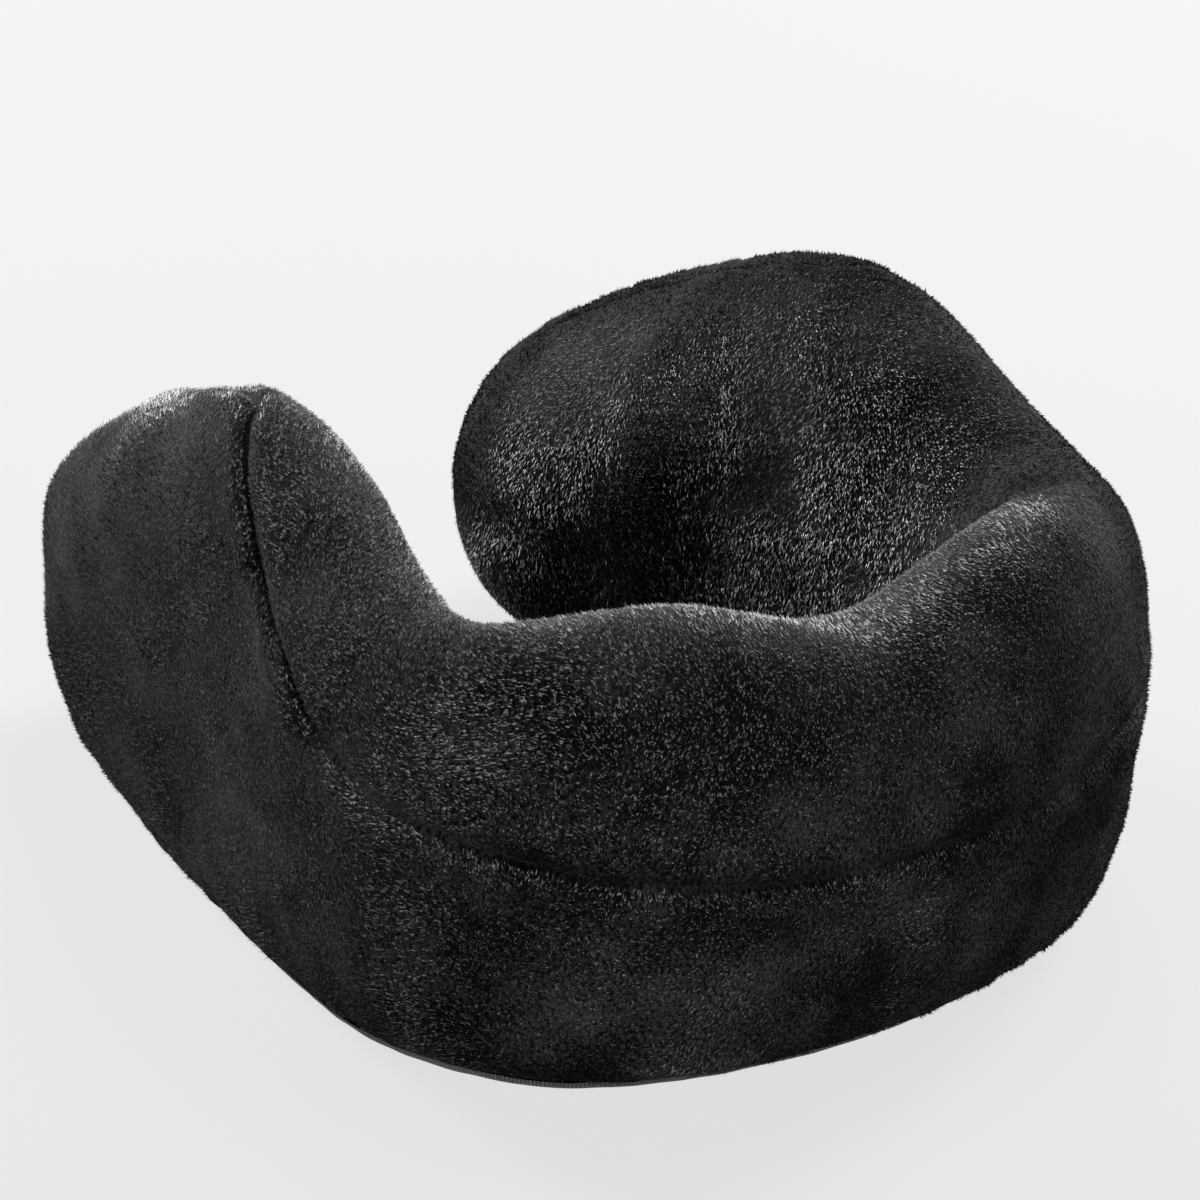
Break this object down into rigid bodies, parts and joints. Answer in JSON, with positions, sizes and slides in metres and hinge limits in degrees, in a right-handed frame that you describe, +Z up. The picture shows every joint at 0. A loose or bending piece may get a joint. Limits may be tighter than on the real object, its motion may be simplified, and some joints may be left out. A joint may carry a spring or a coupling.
{
  "type": "u shaped neck pillow",
  "caption": "U-shaped travel neck pillow with tall cheek lobes, a low humped back, a sewn plush cover over a foam core, and a hidden zipper in the base.",
  "frame": {"origin": "middle of the pillow's bounding box on the plane that the flat base rests on", "axes": "+Z up, the back of the neck towards +Y, the opening between the tips towards -Y, mirror symmetric about the YZ plane"},
  "size_m": [0.2378, 0.2697, 0.1335],
  "materials": {
    "cover_plush": "short-pile plush velour, near black",
    "base_cloth": "smooth knitted cloth, dark",
    "thread": "twisted polyester sewing thread",
    "foam": "open-cell memory foam, off-white",
    "liner_knit": "thin stretch knit, white",
    "label_ribbon": "woven ribbon, blank",
    "zip_tape": "woven polyester tape",
    "zip_coil": "nylon monofilament",
    "zip_metal": "black painted zinc alloy"
  },
  "bodies": {
    "pillow": {"cover_top_panel": "cover_plush", "cover_side_band": "cover_plush", "cover_base_panel": "base_cloth", "top_seam_thread": "thread", "base_seam_thread_outer": "thread", "base_seam_thread_neck": "thread", "foam_core": "foam", "inner_liner": "liner_knit", "care_label": "label_ribbon", "zipper_tape_outer": "zip_tape", "zipper_tape_inner": "zip_tape", "zipper_teeth_outer": "zip_coil", "zipper_teeth_inner": "zip_coil", "zipper_stitching": "thread", "zipper_top_stops": "zip_metal", "zipper_bottom_stop": "zip_metal"},
    "slider": {"zipper_slider": "zip_metal", "zipper_crown": "zip_metal"},
    "pull": {"zipper_pull": "zip_metal"}
  },
  "joints": [
    {"name": "zipper_slide", "type": "hinge", "parent": "pillow", "child": "slider", "pos_m": [0, -0.0141, 0], "axis": [0, 0, 1], "range_deg": [0, 73.2]},
    {"name": "pull_swing", "type": "hinge", "parent": "slider", "child": "pull", "pos_m": [0.07646, 0.07776, 0.0014], "axis": [-0.6519, -0.7583, 0], "range_deg": [0, 150]}
  ]
}
